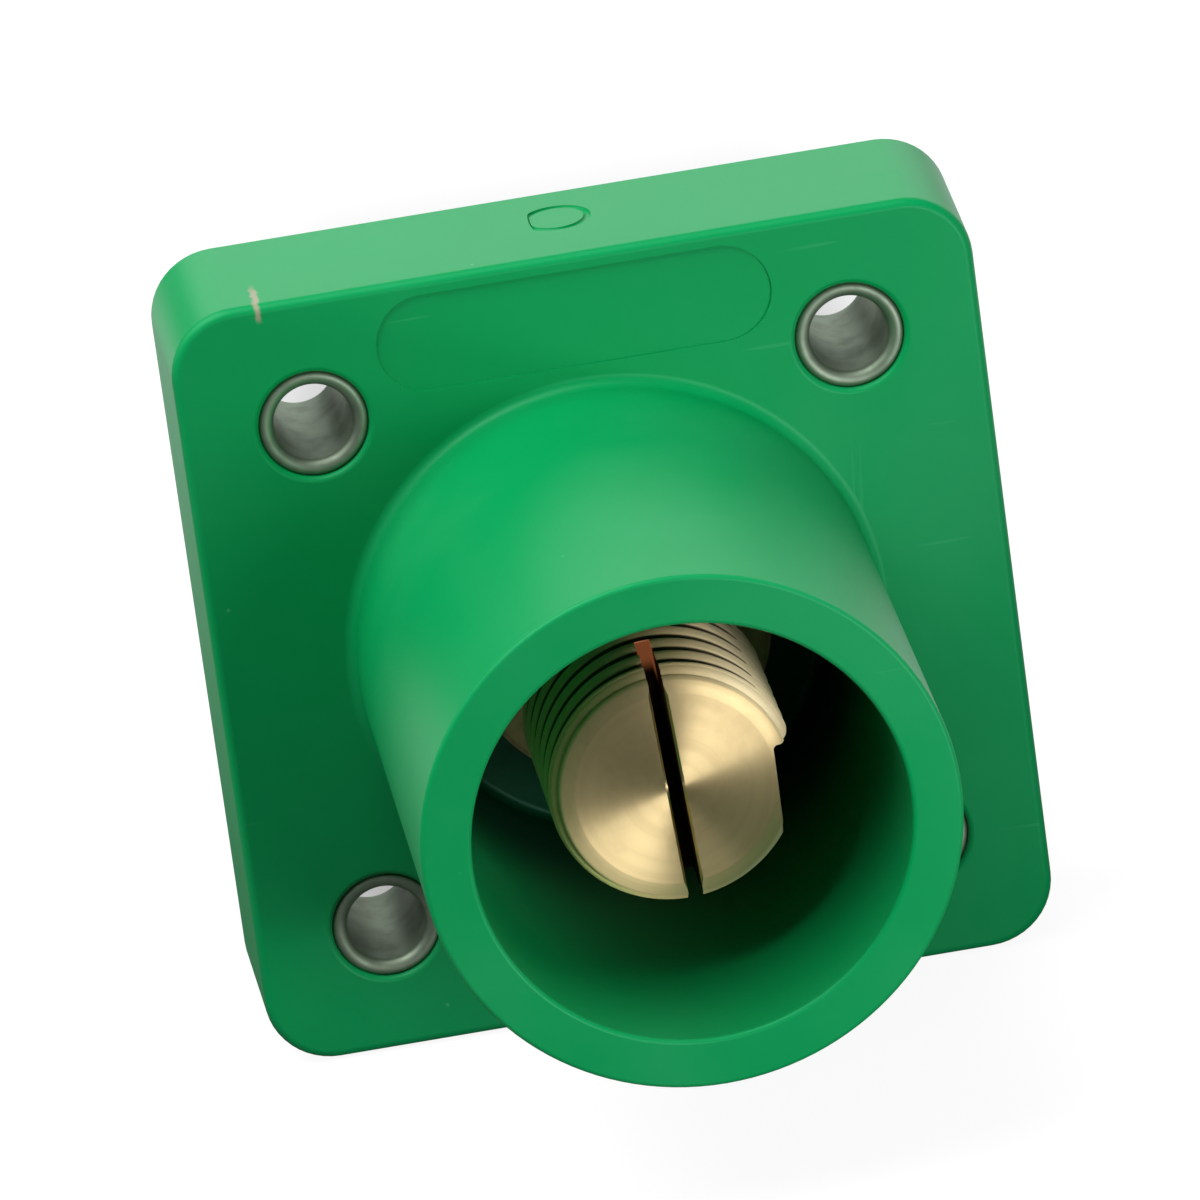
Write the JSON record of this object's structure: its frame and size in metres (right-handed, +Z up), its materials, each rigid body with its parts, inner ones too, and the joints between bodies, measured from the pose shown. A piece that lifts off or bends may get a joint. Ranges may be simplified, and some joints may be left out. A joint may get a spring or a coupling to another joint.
{
  "type": "single pole cam lock connector",
  "caption": "Green panel receptacle with a square flange, a round barrel and a slotted brass male cam contact on a threaded rear stud.",
  "frame": {"origin": "centre of the flange's rear face, the face that stands on the panel", "axes": "+Z up, -Y along the barrel out of the panel's front, +Y along the stud behind the panel, +X to the right as seen from the front"},
  "size_m": [0.0668, 0.1085, 0.0668],
  "materials": {
    "green_insulator": "satin moulded thermoplastic elastomer",
    "contact_brass": "turned, with fine concentric tool marks on the tip",
    "bushing_steel": "zinc plated",
    "hardware_brass": "machined",
    "spring_steel": "plated spring steel"
  },
  "bodies": {
    "root": {"insulator_housing": "green_insulator", "male_contact": "contact_brass", "mounting_bushing_top_left": "bushing_steel", "mounting_bushing_top_right": "bushing_steel", "mounting_bushing_bottom_left": "bushing_steel", "mounting_bushing_bottom_right": "bushing_steel", "seat_washer": "hardware_brass", "jam_nut": "hardware_brass", "inner_lug_washer": "hardware_brass", "outer_lug_washer": "hardware_brass", "split_lock_washer": "spring_steel", "terminal_nut": "hardware_brass"}
  },
  "joints": []
}
